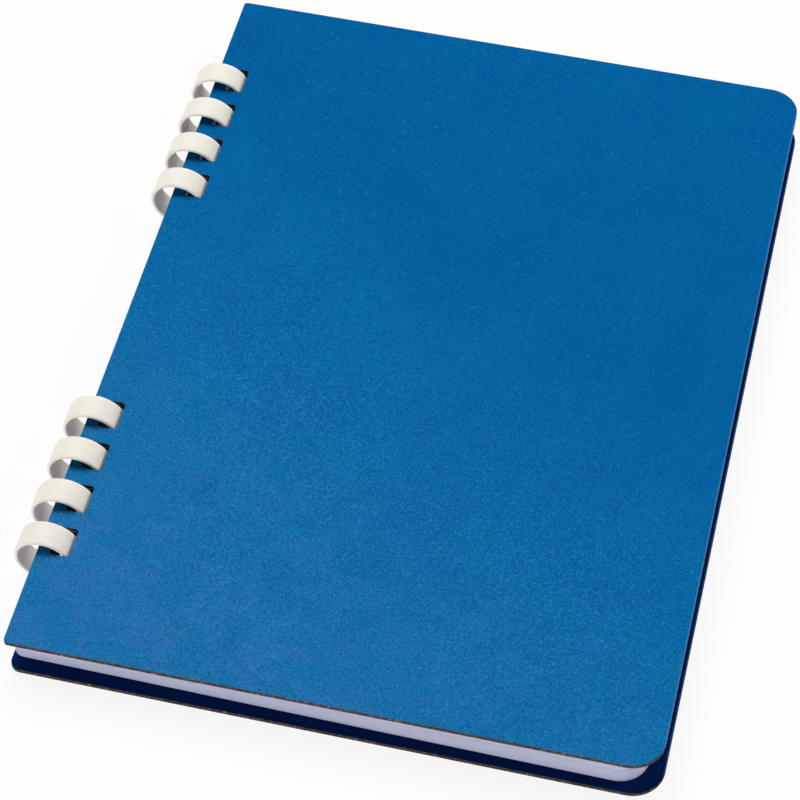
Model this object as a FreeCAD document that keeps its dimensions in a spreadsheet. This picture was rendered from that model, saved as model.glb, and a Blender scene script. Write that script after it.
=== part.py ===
import FreeCAD, Part
import math
import os
import Sketcher

# Ring-bound notebook: two board covers and a block of leaves, carried on eight flat plastic rings.
# Frame: +X from the spine to the fore-edge, +Y to the head of the page, +Z up.
# The origin is under the middle of the outline, on the surface that the rings rest on.

doc = FreeCAD.newDocument("ring_notebook")
sheet = doc.addObject("Spreadsheet::Sheet", "Sizes")

# Driving sizes, in millimetres and degrees.
driving_sizes = {
    "leaf_width": 144.3,
    "leaf_length": 205.0,
    "leaf_corner_radius": 6.8,
    "fore_margin": 4.0,
    "end_margin": 2.5,
    "cover_thickness": 1.15,
    "fore_corner_radius": 7.7,
    "spine_corner_radius": 2.5,
    "front_spine_radius": 1.0,
    "block_thickness": 7.85,
    "block_gap": 0.05,
    "block_inset": 1.6,
    "block_raise": 0.5,
    "block_turn": 0.5,
    "fan_angle": 0.39,
    "back_slip": 0.75,
    "back_drop": 0.7,
    "ring_thickness": 0.9,
    "ring_width": 6.6,
    "ring_edge_radius": 0.3,
    "ring_rise": 2.75,
    "ring_overhang": 6.0,
    "ring_gap": 0.3,
    "ring_pitch": 12.7,
    "rings_per_group": 4,
    "ring_end_inset": 29.05,
    "slot_clearance": 0.25,
    "slot_side_play": 0.7,
    "slot_raise": 0.5,
    "slot_corner_radius": 0.8,
    "front_slot_play": 2.6,
    "back_slot_play": 0.65,
    "leaf_slot_play": 0.9,
}

# Sizes that follow from the driving ones. A ring just clears the whole stack at the spine.
# Each slot reaches from inside the ring's bore to outside its rim, where the ring crosses the board.
derived_sizes = {
    "cover_width": "leaf_width + fore_margin",
    "cover_length": "leaf_length + 2 * end_margin",
    "stack_thickness": "2 * cover_thickness + block_thickness",
    "ring_radius": "(ring_rise + stack_thickness + ring_gap + ring_thickness) / 2",
    "ring_bore": "ring_radius - ring_thickness",
    "ring_centre": "ring_radius - ring_overhang",
    "group_length": "(rings_per_group - 1) * ring_pitch",
    "last_ring": "cover_length / 2 - ring_end_inset",
    "first_ring": "last_ring - group_length",
    "back_underside": "ring_thickness + ring_gap",
    "block_underside": "back_underside + cover_thickness",
    "front_underside": "block_underside + block_thickness",
    "front_top": "front_underside + cover_thickness",
    "spine_x": "(ring_overhang - back_slip - cover_width) / 2",
    "middle_y": "back_drop / 2",
    "half_slot": "ring_width / 2 + slot_side_play",
    "front_bore_reach": "sqrt(ring_bore ^ 2 - (front_top - ring_radius) ^ 2)",
    "front_rim_reach": "sqrt(ring_radius ^ 2 - (front_underside - ring_radius) ^ 2)",
    "front_slot_left": "ring_centre + front_bore_reach - front_slot_play",
    "front_slot_right": "ring_centre + front_rim_reach + slot_clearance",
    "back_bore_reach": "sqrt(ring_bore ^ 2 - (back_underside - ring_radius) ^ 2)",
    "back_rim_reach": "sqrt(ring_radius ^ 2 - (block_underside - ring_radius) ^ 2)",
    "back_slot_left": "ring_centre + back_bore_reach - back_slot_play - back_slip",
    "back_slot_right": "ring_centre + back_rim_reach + slot_clearance - back_slip",
    "block_bore_reach": "sqrt(ring_bore ^ 2 - (block_underside - ring_radius) ^ 2)",
    "turn_play": "last_ring * tan(block_turn * 1 deg) + slot_clearance",
    "block_slot_left": "ring_centre + block_bore_reach - turn_play - leaf_slot_play - block_inset",
    "block_slot_right": "ring_centre + ring_radius + turn_play - block_inset",
    "block_near": "block_thickness - 2 * block_gap + block_inset * tan(fan_angle * 1 deg)",
    "block_far": "block_near + leaf_width * tan(fan_angle * 1 deg)",
}

row = 0
for alias, number in driving_sizes.items():
    row += 1
    sheet.set("A%d" % row, alias)
    sheet.set("B%d" % row, str(number))
    sheet.setAlias("B%d" % row, alias)
for alias, formula in derived_sizes.items():
    row += 1
    sheet.set("A%d" % row, alias)
    sheet.set("B%d" % row, "=" + formula)
    sheet.setAlias("B%d" % row, alias)
doc.recompute()


def new_body(label, position, axis=None, angle=None):
    """A body with its own label, placed by three formulas and turned about one axis by a fourth."""
    body = doc.addObject("PartDesign::Body", label)
    body.Label = label
    if axis:
        body.Placement = FreeCAD.Placement(FreeCAD.Vector(0, 0, 0), FreeCAD.Rotation(axis, 1))
        body.setExpression("Placement.Rotation.Angle", angle)
    for letter, formula in zip("xyz", position):
        body.setExpression("Placement.Base." + letter, formula)
    return body


def new_sketch(body, name, role):
    """A sketch on one of the body's own origin planes."""
    sketch = body.newObject("Sketcher::SketchObject", name)
    planes = [plane for plane in body.Origin.OriginFeatures if plane.Role == role]
    sketch.AttachmentSupport = (planes[0], "")
    sketch.MapMode = "FlatFace"
    return sketch


def place(sketch, kind, geometry, point, formula, name):
    """Hold one point at a signed distance from the sketch's origin, along one axis."""
    distance = sketch.evalExpression(formula)
    if distance < 0:
        index = sketch.addConstraint(Sketcher.Constraint(kind, geometry, point, -1, 1, -distance))
        formula = "-(%s)" % formula
    else:
        index = sketch.addConstraint(Sketcher.Constraint(kind, -1, 1, geometry, point, distance))
    sketch.renameConstraint(index, name)
    sketch.setExpression("Constraints." + name, formula)


def draw_rounded(sketch, left, right, bottom, top, left_radius, right_radius):
    """A closed rectangle with a tangent arc in each corner. A left side of None lies on the Y axis."""
    x_low = sketch.evalExpression(left) if left else 0.0
    x_high = sketch.evalExpression(right)
    y_low = sketch.evalExpression(bottom)
    y_high = sketch.evalExpression(top)
    near = sketch.evalExpression(left_radius)
    far = sketch.evalExpression(right_radius)
    corners = [
        (x_high - far, y_low + far, far, 270),
        (x_high - far, y_high - far, far, 0),
        (x_low + near, y_high - near, near, 90),
        (x_low + near, y_low + near, near, 180),
    ]
    arcs = []
    for x, y, radius, start in corners:
        circle = Part.Circle(FreeCAD.Vector(x, y, 0), FreeCAD.Vector(0, 0, 1), radius)
        arcs.append(Part.ArcOfCircle(circle, math.radians(start), math.radians(start + 90)))
    for index, arc in enumerate(arcs):
        sketch.addGeometry(Part.LineSegment(arcs[index - 1].EndPoint, arc.StartPoint))
        sketch.addGeometry(arc)
    for line in (0, 2, 4, 6):
        sketch.addConstraint(Sketcher.Constraint("Tangent", line, 2, line + 1, 1))
        sketch.addConstraint(Sketcher.Constraint("Tangent", line + 1, 2, (line + 2) % 8, 1))
        direction = "Horizontal" if line in (0, 4) else "Vertical"
        sketch.addConstraint(Sketcher.Constraint(direction, line))
    for arc, radius, formula in ((1, far, right_radius), (3, far, right_radius),
                                 (5, near, left_radius), (7, near, left_radius)):
        index = sketch.addConstraint(Sketcher.Constraint("Radius", arc, radius))
        sketch.renameConstraint(index, "radius%d" % arc)
        sketch.setExpression("Constraints.radius%d" % arc, formula)
    if left:
        place(sketch, "DistanceX", 6, 1, left, "left")
    else:
        sketch.addConstraint(Sketcher.Constraint("PointOnObject", 6, 1, -2))
    place(sketch, "DistanceX", 2, 1, right, "right")
    place(sketch, "DistanceY", 0, 1, bottom, "bottom")
    place(sketch, "DistanceY", 4, 1, top, "top")


def add_sheet(body, width, length, thickness, spine_radius, fore_radius):
    """A flat sheet with its spine edge on the Y axis and rounded corners."""
    outline = new_sketch(body, body.Name + "_outline", "XY_Plane")
    half = "%s / 2" % length
    draw_rounded(outline, None, width, "-(%s)" % half, half, spine_radius, fore_radius)
    sheet_pad = body.newObject("PartDesign::Pad", body.Name + "_sheet")
    sheet_pad.Profile = outline
    sheet_pad.setExpression("Length", thickness)
    doc.recompute()
    return sheet_pad


def punch_slots(body, left, right, shift):
    """A row of four slots each side of the middle, one ring pitch apart and through the whole body."""
    for side, name in ((-1, "foot"), (1, "head")):
        volume_before = body.Shape.Volume
        centre = "%d * Sizes.first_ring + (%s)" % (side, shift)
        profile = new_sketch(body, "%s_%s_slot" % (body.Name, name), "XY_Plane")
        draw_rounded(profile, left, right, centre + " - Sizes.half_slot", centre + " + Sizes.half_slot",
                     "Sizes.slot_corner_radius", "Sizes.slot_corner_radius")
        punch = body.newObject("PartDesign::Pocket", "%s_%s_punch" % (body.Name, name))
        punch.Profile = profile
        punch.Type = "ThroughAll"
        punch.Reversed = True
        doc.recompute()
        repeat = body.newObject("PartDesign::LinearPattern", "%s_%s_row" % (body.Name, name))
        repeat.Originals = [punch]
        repeat.Direction = (profile, ["V_Axis"])
        repeat.Reversed = side < 0
        repeat.setExpression("Length", "Sizes.group_length")
        repeat.setExpression("Occurrences", "Sizes.rings_per_group")
        body.Tip = repeat
        doc.recompute()
        if body.Shape.Volume >= volume_before:
            raise RuntimeError(body.Label + ": the slots cut nothing")


# Covers: millboard, blue paper on both faces, punched along the spine. The front one follows the leaves
# and leans up to the fore-edge. The back one lies flat and has slipped a little out and down.
front_cover = new_body(
    "front_cover",
    ("Sizes.spine_x", "Sizes.middle_y", "Sizes.front_underside"),
    FreeCAD.Vector(0, -1, 0), "Sizes.fan_angle",
)
add_sheet(front_cover, "Sizes.cover_width", "Sizes.cover_length", "Sizes.cover_thickness",
          "Sizes.front_spine_radius", "Sizes.fore_corner_radius")
punch_slots(front_cover, "Sizes.front_slot_left", "Sizes.front_slot_right", "Sizes.slot_raise")

back_cover = new_body(
    "back_cover",
    ("Sizes.spine_x + Sizes.back_slip", "Sizes.middle_y - Sizes.back_drop", "Sizes.back_underside"),
)
add_sheet(back_cover, "Sizes.cover_width", "Sizes.cover_length", "Sizes.cover_thickness",
          "Sizes.spine_corner_radius", "Sizes.fore_corner_radius")
punch_slots(back_cover, "Sizes.back_slot_left", "Sizes.back_slot_right", "Sizes.slot_raise")

# Leaves: one block, thicker at the fore-edge, where the loose sheets fan. It sits a little turned.
page_block = new_body(
    "page_block",
    ("Sizes.spine_x + Sizes.block_inset", "Sizes.middle_y + Sizes.block_raise",
     "Sizes.block_underside + Sizes.block_gap"),
    FreeCAD.Vector(0, 0, -1), "Sizes.block_turn",
)
add_sheet(page_block, "Sizes.leaf_width", "Sizes.leaf_length", "Sizes.block_far",
          "Sizes.spine_corner_radius", "Sizes.leaf_corner_radius")


def slope_top(body):
    """Cut the block's top down to a slope that rises from the spine to the fore-edge."""
    volume_before = body.Shape.Volume
    wedge = new_sketch(body, "page_block_slope", "XZ_Plane")
    near = wedge.evalExpression("Sizes.block_near")
    far = wedge.evalExpression("Sizes.block_far")
    width = wedge.evalExpression("Sizes.leaf_width")
    spine_low = FreeCAD.Vector(0, near, 0)
    spine_high = FreeCAD.Vector(0, far, 0)
    fore_high = FreeCAD.Vector(width, far, 0)
    for start, end in ((spine_low, fore_high), (fore_high, spine_high), (spine_high, spine_low)):
        wedge.addGeometry(Part.LineSegment(start, end))
    for line in range(3):
        wedge.addConstraint(Sketcher.Constraint("Coincident", line, 2, (line + 1) % 3, 1))
    wedge.addConstraint(Sketcher.Constraint("Horizontal", 1))
    wedge.addConstraint(Sketcher.Constraint("PointOnObject", 0, 1, -2))
    wedge.addConstraint(Sketcher.Constraint("PointOnObject", 2, 1, -2))
    place(wedge, "DistanceY", 0, 1, "Sizes.block_near", "near")
    place(wedge, "DistanceY", 1, 1, "Sizes.block_far", "far")
    place(wedge, "DistanceX", 0, 2, "Sizes.leaf_width", "width")
    slope = body.newObject("PartDesign::Pocket", "page_block_slope_cut")
    slope.Profile = wedge
    slope.Type = "ThroughAll"
    slope.Midplane = True
    doc.recompute()
    if body.Shape.Volume >= volume_before:
        raise RuntimeError(body.Label + ": the slope cut nothing")


slope_top(page_block)
punch_slots(page_block, "Sizes.block_slot_left", "Sizes.block_slot_right",
            "Sizes.slot_raise - Sizes.block_raise")


def add_ring(label, along):
    """A closed flat band: two circles one band thickness apart, extruded across, with eased edges."""
    body = new_body(label, ("Sizes.spine_x + Sizes.ring_centre", along, "Sizes.ring_radius"))
    section = new_sketch(body, label + "_circles", "XZ_Plane")
    for index, name in enumerate(("ring_radius", "ring_bore")):
        radius = section.evalExpression("Sizes." + name)
        section.addGeometry(Part.Circle(FreeCAD.Vector(0, 0, 0), FreeCAD.Vector(0, 0, 1), radius))
        section.addConstraint(Sketcher.Constraint("Coincident", index, 3, -1, 1))
        constraint = section.addConstraint(Sketcher.Constraint("Radius", index, radius))
        section.renameConstraint(constraint, name)
        section.setExpression("Constraints." + name, "Sizes." + name)
    band = body.newObject("PartDesign::Pad", label + "_band")
    band.Profile = section
    band.Midplane = True
    band.setExpression("Length", "Sizes.ring_width")
    doc.recompute()
    rims = []
    for number, edge in enumerate(band.Shape.Edges, start=1):
        if isinstance(edge.Curve, Part.Circle):
            rims.append("Edge%d" % number)
    easing = body.newObject("PartDesign::Fillet", label + "_easing")
    easing.Base = (band, rims)
    easing.setExpression("Radius", "Sizes.ring_edge_radius")
    return body


# Rings: eight soft plastic bands in two groups, numbered from the head of the page to the foot.
rings = []
rings_per_group = int(sheet.rings_per_group)
for side, order in ((1, range(rings_per_group - 1, -1, -1)), (-1, range(rings_per_group))):
    for step in order:
        ring_along = "Sizes.middle_y + %d * (Sizes.first_ring + %d * Sizes.ring_pitch)" % (side, step)
        rings.append(add_ring("ring_%d" % (len(rings) + 1), ring_along))

doc.recompute()

for item in doc.Objects:
    if "Invalid" in item.State or "Error" in item.State:
        raise RuntimeError(item.Label + " failed: " + str(item.State))

os.makedirs("parts", exist_ok=True)
sub_parts = [front_cover, page_block, back_cover] + rings
for body in sub_parts:
    if body.Shape.isNull() or not body.Shape.isValid() or len(body.Shape.Solids) != 1:
        raise RuntimeError(body.Label + " is not one sound solid")
for body in sub_parts:
    body.Shape.exportStep("parts/%s.step" % body.Label)
    box = body.Shape.BoundBox
    print("%-12s volume %10.2f mm3, x %8.2f to %7.2f, y %8.2f to %7.2f, z %6.2f to %6.2f" % (
        body.Label, body.Shape.Volume, box.XMin, box.XMax, box.YMin, box.YMax, box.ZMin, box.ZMax))
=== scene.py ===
import math

import bpy
import numpy as np
from mathutils import Matrix, Vector


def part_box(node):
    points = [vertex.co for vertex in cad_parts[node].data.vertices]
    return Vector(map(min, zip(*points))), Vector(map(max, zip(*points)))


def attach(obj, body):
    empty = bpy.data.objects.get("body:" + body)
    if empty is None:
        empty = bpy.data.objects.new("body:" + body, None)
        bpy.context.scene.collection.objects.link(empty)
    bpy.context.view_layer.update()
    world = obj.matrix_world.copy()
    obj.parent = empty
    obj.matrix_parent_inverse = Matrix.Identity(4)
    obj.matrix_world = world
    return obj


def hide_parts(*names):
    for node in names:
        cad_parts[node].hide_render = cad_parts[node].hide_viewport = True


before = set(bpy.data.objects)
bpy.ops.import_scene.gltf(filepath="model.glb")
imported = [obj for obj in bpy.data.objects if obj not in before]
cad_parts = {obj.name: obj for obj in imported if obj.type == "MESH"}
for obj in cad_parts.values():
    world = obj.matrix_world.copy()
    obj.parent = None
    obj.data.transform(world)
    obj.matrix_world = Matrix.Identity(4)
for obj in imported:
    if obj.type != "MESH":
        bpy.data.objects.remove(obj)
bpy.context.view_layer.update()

# Covers
# Two boards of brown pulp with blue paper laid on both faces, cut out with one die, so that the
# brown core shows at every edge and in the walls of the ring slots. The inside is a deeper blue,
# darkened further as painted shade for the space between the covers.
MM = 0.001
BOARD_THICKNESS = 1.15 * MM
PAPER_THICKNESS = 0.035 * MM
FAN_ANGLE = math.radians(0.39)
BLUE_HEAD = (0.0, 0.118, 0.342, 1.0)
BLUE_FOOT_WITH_SHEEN = (0.0120, 0.182, 0.426, 1.0)
CLOUD_TINT = (1.0, 0.91, 0.98, 1.0)
BLUE_FILTER = (0.15, 1.02, 1.02, 1.0)
BLUE_PALE = (0.026, 0.322, 0.625, 1.0)
BLUE_VIOLET = (0.026, 0.174, 0.455, 1.0)
BLUE_DARK = (0.009, 0.079, 0.280, 1.0)
INSIDE_PAINTED_SHADE = (0.19, 0.112, 0.245, 1.0)
CORE_BROWN = (0.115, 0.087, 0.070, 1.0)
CORE_DARK = (0.034, 0.022, 0.016, 1.0)
CORE_FLECK = (0.33, 0.27, 0.21, 1.0)
FORE_EDGE_HIGHLIGHT = (0.075, 0.240, 0.500, 1.0)
SHEEN_SLOPE_ACROSS = -0.0047
SHEEN_SLOPE_ALONG = -0.0086
CLOUDS_PER_MM = 0.055
PATCHES_PER_MM = 0.13
MOTTLE_PER_MM = 2.1
STRANDS_PER_MM = 0.55
STRAND_BEND = 2.6
SPECKS_PER_MM = 0.95
PULP_PER_MM = 1.0
FLECKS_PER_MM = 0.9
GRAIN_PER_MM = 5.0
HIGHLIGHT_WIDTH = 0.45
CORE_BLEND = 0.015 * MM
PAPER_RELIEF = 0.025 * MM


def new_material(name):
    """An empty node material and its output node."""
    material = bpy.data.materials.new(name)
    material.use_nodes = True
    material.node_tree.nodes.clear()
    output = material.node_tree.nodes.new("ShaderNodeOutputMaterial")
    return material, material.node_tree, output


def add_node(tree, kind, inputs=(), **settings):
    """A node with its settings, and with each named input linked to a socket or set to a value."""
    node = tree.nodes.new("ShaderNode" + kind)
    for key, value in settings.items():
        setattr(node, key, value)
    for key, value in dict(inputs).items():
        if isinstance(value, bpy.types.NodeSocket):
            tree.links.new(value, node.inputs[key])
        else:
            node.inputs[key].default_value = value
    return node


def millimetres(tree, stretch=(1.0, 1.0, 1.0)):
    """Object coordinates in millimetres, stretched along each axis by a factor."""
    place = add_node(tree, "TexCoord")
    scale = tuple(factor / MM for factor in stretch)
    return add_node(tree, "Mapping", {"Vector": place.outputs["Object"], "Scale": scale}).outputs[0]


def noise(tree, vector, scale, detail=2.0, roughness=0.5, distortion=0.0):
    """The grey value of a noise texture."""
    node = add_node(tree, "TexNoise", {"Vector": vector, "Scale": scale, "Detail": detail,
                                       "Roughness": roughness, "Distortion": distortion})
    return node.outputs["Fac"]


def remap(tree, value, low, high, to_low=0.0, to_high=1.0):
    """A value between two levels, stretched to the range given and held there."""
    node = add_node(tree, "MapRange", {"Value": value, "From Min": low, "From Max": high,
                                       "To Min": to_low, "To Max": to_high}, clamp=True)
    return node.outputs[0]


def calculate(tree, operation, first, second=0.0):
    """One step of arithmetic on two values."""
    return add_node(tree, "Math", {0: first, 1: second}, operation=operation).outputs[0]


def blend_colours(tree, factor, first, second, mode="MIX"):
    """Two colours mixed by a factor."""
    node = add_node(tree, "Mix", {0: factor, 6: first, 7: second}, data_type="RGBA", blend_type=mode)
    return node.outputs[2]


def board_material(name, slope, middle, inside, fore_edge):
    """Blue laid paper over a brown core, with the inside given as up (1) or down (-1).

    The height above the board's middle plane is the dot product of the point with the plane's
    normal, less the plane's own distance. The core shows where that height is under the paper's.
    Painted sheen makes the paper paler and redder from the head's fore-edge corner down to the
    spine's foot corner, and the pulp flecks grow stronger the same way.
    A painted highlight, a pale line, runs along the fore-edge.
    """
    material, tree, output = new_material(name)
    place = millimetres(tree)

    # Slow change from the head's deep blue to the foot's paler blue, which is painted sheen, with
    # clouds, and violet patches and a red cast where the painted sheen lies
    apart = add_node(tree, "SeparateXYZ", {0: place})
    across = calculate(tree, "MULTIPLY", apart.outputs[0], SHEEN_SLOPE_ACROSS)
    along = calculate(tree, "MULTIPLY", apart.outputs[1], SHEEN_SLOPE_ALONG)
    sheen_and_fleck_gradient = remap(tree, calculate(tree, "ADD", across, along), -0.35, 1.15)
    painted_sheen_red = remap(tree, sheen_and_fleck_gradient, 0.38, 0.85)
    clouds = remap(tree, noise(tree, place, CLOUDS_PER_MM, 3.0, 0.55, 0.3), 0.42, 0.60)
    paper = blend_colours(tree, sheen_and_fleck_gradient, BLUE_HEAD, BLUE_FOOT_WITH_SHEEN)
    paper = blend_colours(tree, clouds, paper, CLOUD_TINT, "MULTIPLY")
    patches = remap(tree, noise(tree, place, PATCHES_PER_MM, 4.0, 0.65, 0.5), 0.44, 0.62)
    patches = calculate(tree, "MULTIPLY", patches, painted_sheen_red)
    paper = blend_colours(tree, patches, paper, BLUE_VIOLET)
    # Painted sheen: the red is taken out of the blue away from the foot's spine corner
    outside_painted_sheen = calculate(tree, "SUBTRACT", 1.0, painted_sheen_red)
    paper = blend_colours(tree, outside_painted_sheen, paper, BLUE_FILTER, "MULTIPLY")

    # Pale and dark flecks of the pulp, stronger towards the spine's foot corner along the sheen's
    # gradient
    strong = remap(tree, sheen_and_fleck_gradient, 0.05, 0.45, 0.17, 0.78)
    mottle = noise(tree, place, MOTTLE_PER_MM, 2.0, 0.85, 0.6)
    pale = calculate(tree, "MULTIPLY", remap(tree, mottle, 0.51, 0.63), strong)
    dark = calculate(tree, "MULTIPLY", remap(tree, mottle, 0.49, 0.37), strong)
    paper = blend_colours(tree, calculate(tree, "MULTIPLY", pale, 0.62), paper, BLUE_PALE)
    paper = blend_colours(tree, calculate(tree, "MULTIPLY", dark, 0.80), paper, BLUE_DARK)

    # Curled fibres: the broken edges of bent cells
    bent = add_node(tree, "TexNoise", {"Vector": place, "Scale": 0.45, "Detail": 1.0})
    reach = (STRAND_BEND, STRAND_BEND, STRAND_BEND)
    bend = add_node(tree, "VectorMath", {0: bent.outputs["Color"], 1: reach}, operation="MULTIPLY")
    curled = add_node(tree, "VectorMath", {0: place, 1: bend.outputs[0]}, operation="ADD").outputs[0]
    cells = {"Vector": curled, "Scale": STRANDS_PER_MM}
    strands = add_node(tree, "TexVoronoi", cells, feature="DISTANCE_TO_EDGE")
    strand = remap(tree, strands.outputs["Distance"], 0.0, 0.05, 1.0, 0.0)
    broken = remap(tree, noise(tree, place, 0.9, 1.0), 0.52, 0.60)
    strand = calculate(tree, "MULTIPLY", strand, broken)
    paper = blend_colours(tree, calculate(tree, "MULTIPLY", strand, 0.30), paper, BLUE_PALE)

    # A few bright specks, one in some of the cells
    specks = add_node(tree, "TexVoronoi", {"Vector": place, "Scale": SPECKS_PER_MM}, feature="F1")
    speck = remap(tree, specks.outputs["Distance"], 0.10, 0.22, 1.0, 0.0)
    chosen = add_node(tree, "SeparateColor", {0: specks.outputs["Color"]})
    speck = calculate(tree, "MULTIPLY", speck, remap(tree, chosen.outputs[0], 0.50, 0.90))
    speck = calculate(tree, "MULTIPLY", speck, strong)
    paper = blend_colours(tree, calculate(tree, "MULTIPLY", speck, 0.90), paper, BLUE_PALE)

    # The inside's deeper blue, partly painted shade, and the fore-edge's painted highlight
    normal = (-math.sin(slope), 0.0, math.cos(slope))
    where = add_node(tree, "TexCoord").outputs["Object"]
    height = add_node(tree, "VectorMath", {0: where, 1: normal}, operation="DOT_PRODUCT")
    height = calculate(tree, "SUBTRACT", height.outputs["Value"], middle.dot(Vector(normal)))
    facing_in = remap(tree, calculate(tree, "MULTIPLY", height, inside), 0.0, 0.1 * MM)
    # Painted shade: the inside faces are darkened, partly for their own deeper blue and partly for the
    # shade between the covers
    inside_painted_shade_colour = blend_colours(tree, 1.0, paper, INSIDE_PAINTED_SHADE, "MULTIPLY")
    paper = blend_colours(tree, facing_in, paper, inside_painted_shade_colour)
    edge = fore_edge / MM
    # Painted highlight: a pale line along the fore-edge, where its edge catches the light
    fore_edge_highlight_mask = remap(tree, apart.outputs[0], edge - HIGHLIGHT_WIDTH, edge - 0.05, 0.0, 0.75)
    paper = blend_colours(tree, fore_edge_highlight_mask, paper, FORE_EDGE_HIGHLIGHT)

    # The pulp core between the two papers
    away = calculate(tree, "ABSOLUTE", height)
    face = BOARD_THICKNESS / 2 - PAPER_THICKNESS
    core_mask = remap(tree, away, face - CORE_BLEND, face + CORE_BLEND, 1.0, 0.0)
    layers = noise(tree, millimetres(tree, (1.0, 1.0, 3.0)), PULP_PER_MM, 3.0, 0.8)
    core = blend_colours(tree, remap(tree, layers, 0.42, 0.56), CORE_DARK, CORE_BROWN)
    flecks = remap(tree, noise(tree, place, FLECKS_PER_MM, 3.0, 0.8), 0.56, 0.70)
    core = blend_colours(tree, flecks, core, CORE_FLECK)
    colour = blend_colours(tree, core_mask, paper, core)

    grain = noise(tree, place, GRAIN_PER_MM, 2.0, 0.6)
    relief = calculate(tree, "ADD", calculate(tree, "MULTIPLY", grain, 0.4), mottle)
    relief = calculate(tree, "ADD", relief, calculate(tree, "MULTIPLY", strand, 0.4))
    bump = add_node(tree, "Bump", {"Height": relief, "Strength": 0.5, "Distance": PAPER_RELIEF})
    dull = remap(tree, mottle, 0.3, 0.7, 0.78, 0.92)
    surface = add_node(tree, "BsdfPrincipled", {"Base Color": colour, "Roughness": dull,
                                                "Specular IOR Level": 0.008, "Normal": bump.outputs[0]})
    tree.links.new(surface.outputs[0], output.inputs[0])
    return material


COVERS = (("front_cover", FAN_ANGLE, -1.0), ("back_cover", 0.0, 1.0))
for cover_name, cover_slope, cover_inside in COVERS:
    low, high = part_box(cover_name)
    board = board_material(cover_name + "_board", cover_slope, (low + high) / 2, cover_inside, high.x)
    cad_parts[cover_name].material_slots[0].material = board

# Leaves
# About eighty sheets of white paper, trimmed together and punched for the rings. The sheets are cut
# a hair unevenly, so a thin frill of sheet edges goes round the solid block, one ridge to a sheet.
LEAF_COUNT = 80
LEAF_WIDTH = 144.3 * MM
LEAF_LENGTH = 205.0 * MM
LEAF_TURN = math.radians(0.5)
LEAF_FORE_RADIUS = 6.8 * MM
LEAF_SPINE_RADIUS = 2.5 * MM
LEAF_JITTER = 0.07 * MM
LEAF_GROOVE = 0.02 * MM
FRILL_DEPTH = 0.5 * MM
FRILL_STAND = 0.10 * MM
FRILL_CORNER_POINTS = 9
FRILL_SIDE_POINTS = 52
SLOTS_START = 1.0 * MM
SLOTS_END = 9.6 * MM
SLOTS_REACH = 88.5 * MM
PAPER_BUMP = 0.02 * MM
EDGE_WHITE_IN_SHADE = (0.765, 0.785, 0.965, 1.0)
EDGE_STREAK_IN_SHADE = (0.67, 0.69, 0.885, 1.0)
FACE_WHITE = (0.84, 0.85, 0.90, 1.0)
FACE_SHADE = (0.77, 0.78, 0.84, 1.0)
HOLE_PAINTED_SHADE = (0.060, 0.032, 0.020, 1.0)


def rounded_outline(width, length, spine_radius, fore_radius, corner_points, side_points):
    """Points and outward normals round a rectangle with rounded corners, anticlockwise from the foot.

    Each corner is a quarter turn of its own radius about its own centre, and each side is straight
    from the end of one corner to the start of the next.
    """
    corners = ((width / 2, -length / 2, fore_radius, -90), (width / 2, length / 2, fore_radius, 0),
               (-width / 2, length / 2, spine_radius, 90), (-width / 2, -length / 2, spine_radius, 180))
    points = []
    normals = []
    for x, y, radius, start in corners:
        turn = np.radians(start + np.linspace(0.0, 90.0, corner_points))
        outward = np.stack([np.cos(turn), np.sin(turn)], axis=1)
        centre = np.array([x - math.copysign(radius, x), y - math.copysign(radius, y)])
        points.append(centre + radius * outward)
        normals.append(outward)
    outline = []
    directions = []
    for index in range(4):
        following = points[(index + 1) % 4][0]
        share = np.linspace(0.0, 1.0, side_points + 2)[1:-1, None]
        side = points[index][-1] * (1.0 - share) + following * share
        outline += [points[index], side]
        directions += [normals[index], np.repeat(normals[index][-1:], side_points, axis=0)]
    return np.concatenate(outline), np.concatenate(directions)


def mesh_from_grid(name, grid, smooth=True):
    """A mesh object whose faces join each grid point to its neighbours, closed both ways round."""
    rows, columns = grid.shape[:2]
    index = np.arange(rows * columns).reshape(rows, columns)
    ahead = np.roll(index, -1, axis=1)
    faces = np.stack([index, ahead, np.roll(ahead, -1, axis=0), np.roll(index, -1, axis=0)], axis=-1)
    mesh = bpy.data.meshes.new(name)
    mesh.from_pydata(grid.reshape(-1, 3).tolist(), [], faces.reshape(-1, 4).tolist())
    mesh.polygons.foreach_set("use_smooth", np.full(len(mesh.polygons), smooth))
    mesh.update()
    piece = bpy.data.objects.new(name, mesh)
    bpy.context.scene.collection.objects.link(piece)
    return piece


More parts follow.
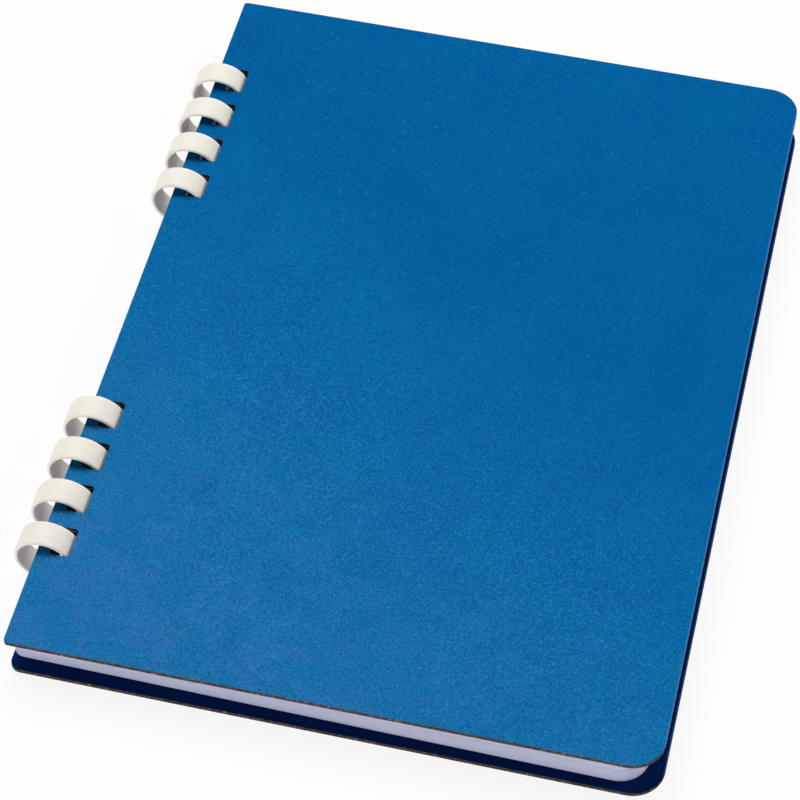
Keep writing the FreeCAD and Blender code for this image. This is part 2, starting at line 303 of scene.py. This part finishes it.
def leaf_frill():
    """The ridged wall of sheet edges, as a closed tube of narrow section round the block.

    Rows go up the outside, three to a sheet: the groove under it, its lower edge and its upper edge.
    Each row stands out from the block's wall by the sheet's own offset plus a slow wave round the
    outline. Two more rows come back down inside the block's solid and close the tube.
    """
    low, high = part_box("page_block")
    centre = (low + high) / 2
    draw = np.random.default_rng(8)
    outline, normals = rounded_outline(LEAF_WIDTH, LEAF_LENGTH, LEAF_SPINE_RADIUS, LEAF_FORE_RADIUS,
                                       FRILL_CORNER_POINTS, FRILL_SIDE_POINTS)
    turn = np.array([[math.cos(LEAF_TURN), -math.sin(LEAF_TURN)],
                     [math.sin(LEAF_TURN), math.cos(LEAF_TURN)]])
    around = np.linspace(0.0, 2.0 * np.pi, len(outline), endpoint=False)

    sheets = np.arange(LEAF_COUNT)
    drift = np.cumsum(draw.normal(0.0, 0.35, LEAF_COUNT))
    drift = drift - np.convolve(drift, np.ones(15) / 15.0, mode="same")
    offset = LEAF_JITTER * (0.5 * drift + draw.normal(0.0, 0.45, LEAF_COUNT))
    waves = draw.integers(2, 7, LEAF_COUNT)[:, None]
    shift = draw.uniform(0, 6.3, LEAF_COUNT)[:, None]
    wave = np.sin(around[None, :] * waves + shift)
    stand = offset[:, None] + 0.25 * LEAF_JITTER * wave
    stand = np.clip(stand, -0.05 * MM, 0.14 * MM) + FRILL_STAND
    rows = np.repeat(stand, 3, axis=0)
    rows[0::3] = LEAF_GROOVE
    sheet_rows = [0.0, 0.18, 0.94]
    level = (np.repeat(sheets, 3) + np.tile(sheet_rows, LEAF_COUNT)) / LEAF_COUNT
    level = 0.004 + 0.992 * level

    inside = np.full((2, len(outline)), -FRILL_DEPTH)
    stand_all = np.concatenate([rows, inside])
    level_all = np.concatenate([level, [level[-1], level[0]]])
    flat = outline[None] + normals[None] * stand_all[:, :, None]
    across = flat[..., 0] + LEAF_WIDTH / 2
    top_at_spine = (high.z - low.z) - LEAF_WIDTH * math.tan(FAN_ANGLE)
    thickness = top_at_spine + across * math.tan(FAN_ANGLE)
    grid = np.empty(flat.shape[:2] + (3,))
    grid[..., :2] = flat @ turn + np.array([centre.x, centre.y])
    grid[..., 2] = low.z + level_all[:, None] * thickness
    return mesh_from_grid("leaf_edges", grid, smooth=False)


def paper_material(name, streaks):
    """White paper: soft fibre clouds on the face, or fine streaks along the cut edges. The cut edges
    are painted a darker, bluer white than the face, partly as painted shade.

    The walls of the punched slots are painted dark, as painted shade in the deep holes. They lie where
    the depth from the spine edge, which is the dot product of the point with the leaves' own inward
    direction less that of the edge, is between the slots' start and end, and where the height is
    under the sloped top face.
    """
    material, tree, output = new_material(name)
    if streaks:
        fine = noise(tree, millimetres(tree, (0.03, 0.03, 7.0)), 1.0, 3.0, 0.6)
        tone = remap(tree, fine, 0.30, 0.62)
        # Painted shade: the cut edges take a darker, bluer white than the faces
        colour = blend_colours(tree, tone, EDGE_STREAK_IN_SHADE, EDGE_WHITE_IN_SHADE)
    else:
        fine = noise(tree, millimetres(tree), 2.4, 4.0, 0.65)
        tone = remap(tree, fine, 0.20, 0.45)
        colour = blend_colours(tree, tone, FACE_SHADE, FACE_WHITE)
        low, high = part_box("page_block")
        where = add_node(tree, "TexCoord").outputs["Object"]
        spot = add_node(tree, "SeparateXYZ", {0: where})
        inward = (math.cos(LEAF_TURN), -math.sin(LEAF_TURN), 0.0)
        depth = add_node(tree, "VectorMath", {0: where, 1: inward}, operation="DOT_PRODUCT")
        middle_depth = ((low + high) / 2).dot(Vector(inward))
        depth = calculate(tree, "SUBTRACT", depth.outputs["Value"], middle_depth - LEAF_WIDTH / 2)
        past_edge = remap(tree, depth, SLOTS_START - 0.1 * MM, SLOTS_START + 0.1 * MM)
        short_of = remap(tree, depth, SLOTS_END - 0.1 * MM, SLOTS_END + 0.1 * MM, 1.0, 0.0)
        near_spine = calculate(tree, "MULTIPLY", past_edge, short_of)
        from_middle = calculate(tree, "ABSOLUTE", spot.outputs[1])
        off_ends = remap(tree, from_middle, SLOTS_REACH - 0.5 * MM, SLOTS_REACH + 0.5 * MM, 1.0, 0.0)
        near_spine = calculate(tree, "MULTIPLY", near_spine, off_ends)
        top = high.z - LEAF_WIDTH * math.tan(FAN_ANGLE)
        rise = calculate(tree, "MULTIPLY", depth, math.tan(FAN_ANGLE))
        level = calculate(tree, "SUBTRACT", spot.outputs[2], rise)
        under_top = remap(tree, level, top - 0.01 * MM, top - 0.03 * MM)
        over_foot = remap(tree, spot.outputs[2], low.z + 0.04 * MM, low.z + 0.12 * MM)
        hole_shade_mask = calculate(tree, "MULTIPLY", calculate(tree, "MULTIPLY", near_spine, under_top), over_foot)
        # Painted shade: the slot walls are darkened where little light reaches into the holes
        colour = blend_colours(tree, hole_shade_mask, colour, HOLE_PAINTED_SHADE)
    bump = add_node(tree, "Bump", {"Height": fine, "Strength": 0.4, "Distance": PAPER_BUMP})
    surface = add_node(tree, "BsdfPrincipled", {"Base Color": colour, "Roughness": 0.85,
                                                "Specular IOR Level": 0.2, "Normal": bump.outputs[0]})
    tree.links.new(surface.outputs[0], output.inputs[0])
    return material


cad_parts["page_block"].material_slots[0].material = paper_material("leaf_paper", False)
leaf_edges = leaf_frill()
leaf_edges.data.materials.append(paper_material("leaf_cut_edges", True))
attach(leaf_edges, "leaves")

# Rings
# Eight closed bands of cream plastic, moulded in one piece, with eased edges and a slightly crowned
# outside. They hang loose in the slots, so nothing fixes them.
RING_COUNT = 8
RING_WIDTH = 6.6 * MM
RING_THICKNESS = 0.9 * MM
RING_EASE = 0.42 * MM
RING_CROWN = 0.05 * MM
RING_BUMP = 0.012 * MM
RING_SEGMENTS = 144
EASE_POINTS = 5
FACE_POINTS = 8
RING_CREAM = (0.940, 0.890, 0.818, 1.0)
RING_WARM = (0.925, 0.870, 0.770, 1.0)


def band_section(width, thickness, ease, crown):
    """The band's section: a rectangle with quarter-round corners, as (across, outward) from its middle.

    The outside face bulges by the crown, which falls off with the square of the distance across.
    """
    corners = ((1, 1, 0), (-1, 1, 90), (-1, -1, 180), (1, -1, 270))
    section = []
    for side_x, side_y, start in corners:
        turn = np.radians(start + np.linspace(0.0, 90.0, EASE_POINTS))
        centre = np.array([side_x * (width / 2 - ease), side_y * (thickness / 2 - ease)])
        section.append(centre + ease * np.stack([np.cos(turn), np.sin(turn)], axis=1))
        if side_y == side_x:
            gap = np.linspace(side_x, -side_x, FACE_POINTS)[1:-1] * (width / 2 - ease)
            section.append(np.stack([gap, np.full(len(gap), side_y * thickness / 2)], axis=1))
    section = np.concatenate(section)
    outer = section[:, 1] > thickness / 2 - ease
    section[outer, 1] -= crown * (2.0 * section[outer, 0] / width) ** 2
    return section


def ring_piece(node_name):
    """One ring: the band's section carried once round a circle in the plane across the spine.

    A section point lies at a reach, which is the band's middle radius plus the point's outward
    part. Across the spine and up, it goes to the centre plus the reach times the cosine and sine.
    """
    low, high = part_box(node_name)
    centre = (low + high) / 2
    radius = (high.z - low.z) / 2
    section = band_section(RING_WIDTH, RING_THICKNESS, RING_EASE, RING_CROWN)
    turn = np.linspace(0.0, 2.0 * np.pi, RING_SEGMENTS, endpoint=False)[:, None]
    reach = radius - RING_THICKNESS / 2 + section[None, :, 1]
    grid = np.empty((RING_SEGMENTS, len(section), 3))
    grid[..., 0] = centre.x + reach * np.cos(turn)
    grid[..., 1] = centre.y + section[None, :, 0]
    grid[..., 2] = centre.z + reach * np.sin(turn)
    return mesh_from_grid(node_name + "_band", grid)


def cream_plastic():
    """Satin cream plastic with a faint bloom and the fine grain of its mould."""
    material, tree, output = new_material("ring_cream_plastic")
    place = millimetres(tree)
    bloom = remap(tree, noise(tree, place, 0.5, 3.0, 0.6), 0.38, 0.66)
    colour = blend_colours(tree, bloom, RING_WARM, RING_CREAM)
    grain = noise(tree, place, 7.0, 3.0, 0.6)
    bump = add_node(tree, "Bump", {"Height": grain, "Strength": 0.35, "Distance": RING_BUMP})
    gloss = remap(tree, grain, 0.3, 0.7, 0.52, 0.64)
    surface = add_node(tree, "BsdfPrincipled", {
        "Base Color": colour, "Roughness": gloss, "Specular IOR Level": 0.36,
        "Subsurface Weight": 0.45, "Subsurface Scale": 0.8 * MM, "Normal": bump.outputs[0]})
    surface.inputs["Subsurface Radius"].default_value = (1.0, 0.8, 0.6)
    tree.links.new(surface.outputs[0], output.inputs[0])
    return material


ring_material = cream_plastic()
for number in range(1, RING_COUNT + 1):
    ring_name = "ring_%d" % number
    ring = ring_piece(ring_name)
    ring.data.materials.append(ring_material)
    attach(ring, "leaves")
    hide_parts(ring_name)

# Studio
# A white sweep on which the notebook lies. A large soft lamp stands above and behind its spine
# side, a low one lights the foot edges and the third fills the fore-edge side.
FLOOR_SIZE = 6.0
FLOOR_WHITE = (0.95, 0.95, 0.95, 1.0)
WHITE = (1.0, 1.0, 1.0, 1.0)
FLOOR_GLOW = 0.90
AMBIENT = 0.08


def seen_directly(tree):
    """One for camera, glossy and transmission rays, and nought for the rays that light the object."""
    rays = add_node(tree, "LightPath")
    seen = calculate(tree, "ADD", rays.outputs["Is Camera Ray"], rays.outputs["Is Glossy Ray"])
    seen = calculate(tree, "ADD", seen, rays.outputs["Is Transmission Ray"])
    return calculate(tree, "MINIMUM", seen, 1.0)


floor_mesh = bpy.data.meshes.new("floor")
half_floor = FLOOR_SIZE / 2
floor_mesh.from_pydata([(-half_floor, -half_floor, 0), (half_floor, -half_floor, 0),
                        (half_floor, half_floor, 0), (-half_floor, half_floor, 0)], [], [(0, 1, 2, 3)])
floor = bpy.data.objects.new("floor", floor_mesh)
bpy.context.scene.collection.objects.link(floor)
floor_material, floor_tree, floor_output = new_material("floor_white")
matt = add_node(floor_tree, "BsdfDiffuse", {"Color": FLOOR_WHITE})
glow = add_node(floor_tree, "Emission", {"Color": WHITE, "Strength": 1.0})
glow_share = calculate(floor_tree, "MULTIPLY", seen_directly(floor_tree), FLOOR_GLOW)
floor_mix = add_node(floor_tree, "MixShader", {0: glow_share, 1: matt.outputs[0], 2: glow.outputs[0]})
floor_tree.links.new(floor_mix.outputs[0], floor_output.inputs[0])
floor_mesh.materials.append(floor_material)

world = bpy.data.worlds.new("studio")
world.use_nodes = True
bpy.context.scene.world = world
sky = world.node_tree
sky.nodes.clear()
sky_output = sky.nodes.new("ShaderNodeOutputWorld")
dim = add_node(sky, "Background", {"Color": WHITE, "Strength": AMBIENT})
white = add_node(sky, "Background", {"Color": WHITE, "Strength": 1.0})
sky_mix = add_node(sky, "MixShader", {0: seen_directly(sky), 1: dim.outputs[0], 2: white.outputs[0]})
sky.links.new(sky_mix.outputs[0], sky_output.inputs[0])


def soft_lamp(name, place, size, power):
    """A square area lamp that faces the notebook's middle."""
    lamp = bpy.data.lights.new(name, "AREA")
    lamp.size = size
    lamp.energy = power
    holder = bpy.data.objects.new(name, lamp)
    holder.location = place
    holder.rotation_euler = (-Vector(place)).to_track_quat("-Z", "Y").to_euler()
    bpy.context.scene.collection.objects.link(holder)


LAMPS = (("key_lamp", (-0.75, 1.15, 1.95), 1.5, 45.5), ("low_lamp", (-0.50, -1.55, 0.16), 0.4, 13.0),
         ("side_lamp", (1.15, 0.55, 0.75), 0.8, 9.8))
for lamp_name, lamp_place, lamp_size, lamp_power in LAMPS:
    soft_lamp(lamp_name, lamp_place, lamp_size, lamp_power)

# Camera
# It looks down on the notebook from in front of the foot, at 51 degrees and with a long lens.
# The heading turns from the spine's own direction towards the spine side.
CAMERA_LENS = 136.43
CAMERA_SENSOR = 36.0
CAMERA_PLACE = (94.265 * MM, -457.388 * MM, 570.576 * MM)
VIEW_ELEVATION = math.radians(51.124)
VIEW_HEADING = math.radians(-12.223)
VIEW_ROLL = math.radians(1.034)

forward = Vector((math.sin(VIEW_HEADING) * math.cos(VIEW_ELEVATION),
                  math.cos(VIEW_HEADING) * math.cos(VIEW_ELEVATION), -math.sin(VIEW_ELEVATION)))
level_right = Vector((math.cos(VIEW_HEADING), -math.sin(VIEW_HEADING), 0.0))
level_up = level_right.cross(forward)
right = level_right * math.cos(VIEW_ROLL) + level_up * math.sin(VIEW_ROLL)
up = right.cross(forward)
lens = bpy.data.cameras.new("camera")
lens.lens = CAMERA_LENS
lens.sensor_width = CAMERA_SENSOR
lens.sensor_fit = "HORIZONTAL"
camera = bpy.data.objects.new("camera", lens)
bpy.context.scene.collection.objects.link(camera)
camera_turn = Matrix((right, up, -forward)).transposed().to_4x4()
camera.matrix_world = Matrix.Translation(CAMERA_PLACE) @ camera_turn
bpy.context.scene.camera = camera
bpy.context.scene.view_settings.view_transform = "Standard"
